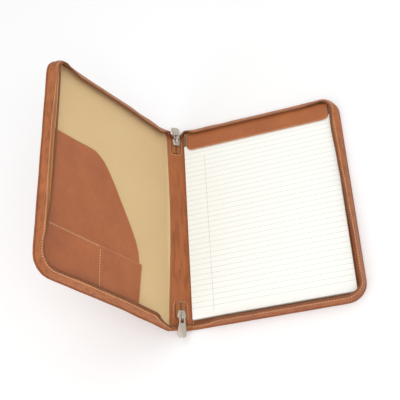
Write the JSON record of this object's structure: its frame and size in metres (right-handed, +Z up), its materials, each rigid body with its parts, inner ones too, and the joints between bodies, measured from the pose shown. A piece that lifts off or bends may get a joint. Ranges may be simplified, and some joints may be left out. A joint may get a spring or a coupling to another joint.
{
  "type": "leather document case",
  "caption": "Open zip-around leather document case for letter-size paper, with a ruled writing pad under a strap on one cover and two leather pockets on the other.",
  "frame": {"origin": "middle of the object's footprint box, on the surface that it rests on", "axes": "+Z up from that surface, +Y up the page along the spine, +X from the spine to the writing pad's far edge"},
  "size_m": [0.34, 0.3312, 0.2399],
  "materials": {
    "cover_leather": "tan full-grain, semi-matt",
    "pocket_leather": "tan smooth, semi-matt",
    "lining_cloth": "beige fine weave, matt",
    "zip_tape": "olive brown woven, matt",
    "zip_coil": "dark brown nylon",
    "nickel": "satin nickel",
    "paper": "uncoated ruled paper",
    "pad_board": "grey board",
    "binding": "paper tape"
  },
  "bodies": {
    "case": {"leather_shell": "cover_leather", "spine_lining": "cover_leather", "lining_left": "lining_cloth", "lining_right": "lining_cloth", "gusset_left": "cover_leather", "gusset_right": "cover_leather", "zip_tape_left": "zip_tape", "zip_tape_right": "zip_tape", "zip_coil_left": "zip_coil", "zip_coil_right": "zip_coil", "zip_tail_bottom": "zip_tape", "zip_tail_top": "zip_tape", "slider_bottom": "nickel", "slider_top": "nickel", "pocket_large": "pocket_leather", "pocket_lower": "pocket_leather", "pad_backing": "pad_board", "pad_paper": "paper", "pad_binding": "binding", "pad_strap": "cover_leather"},
    "bottom_pull": {"pull_bottom": "nickel"},
    "top_pull": {"pull_top": "nickel"}
  },
  "joints": [
    {"name": "bottom_pull_hinge", "type": "hinge", "parent": "case", "child": "bottom_pull", "pos_m": [-0.06825, -0.13908, 0.01779], "axis": [-0.8241, 0.0105, 0.5664], "range_deg": [0, 165]},
    {"name": "top_pull_hinge", "type": "hinge", "parent": "case", "child": "top_pull", "pos_m": [-0.06584, 0.1405, 0.01614], "axis": [0.8241, -0.0105, -0.5664], "range_deg": [0, 175]}
  ]
}
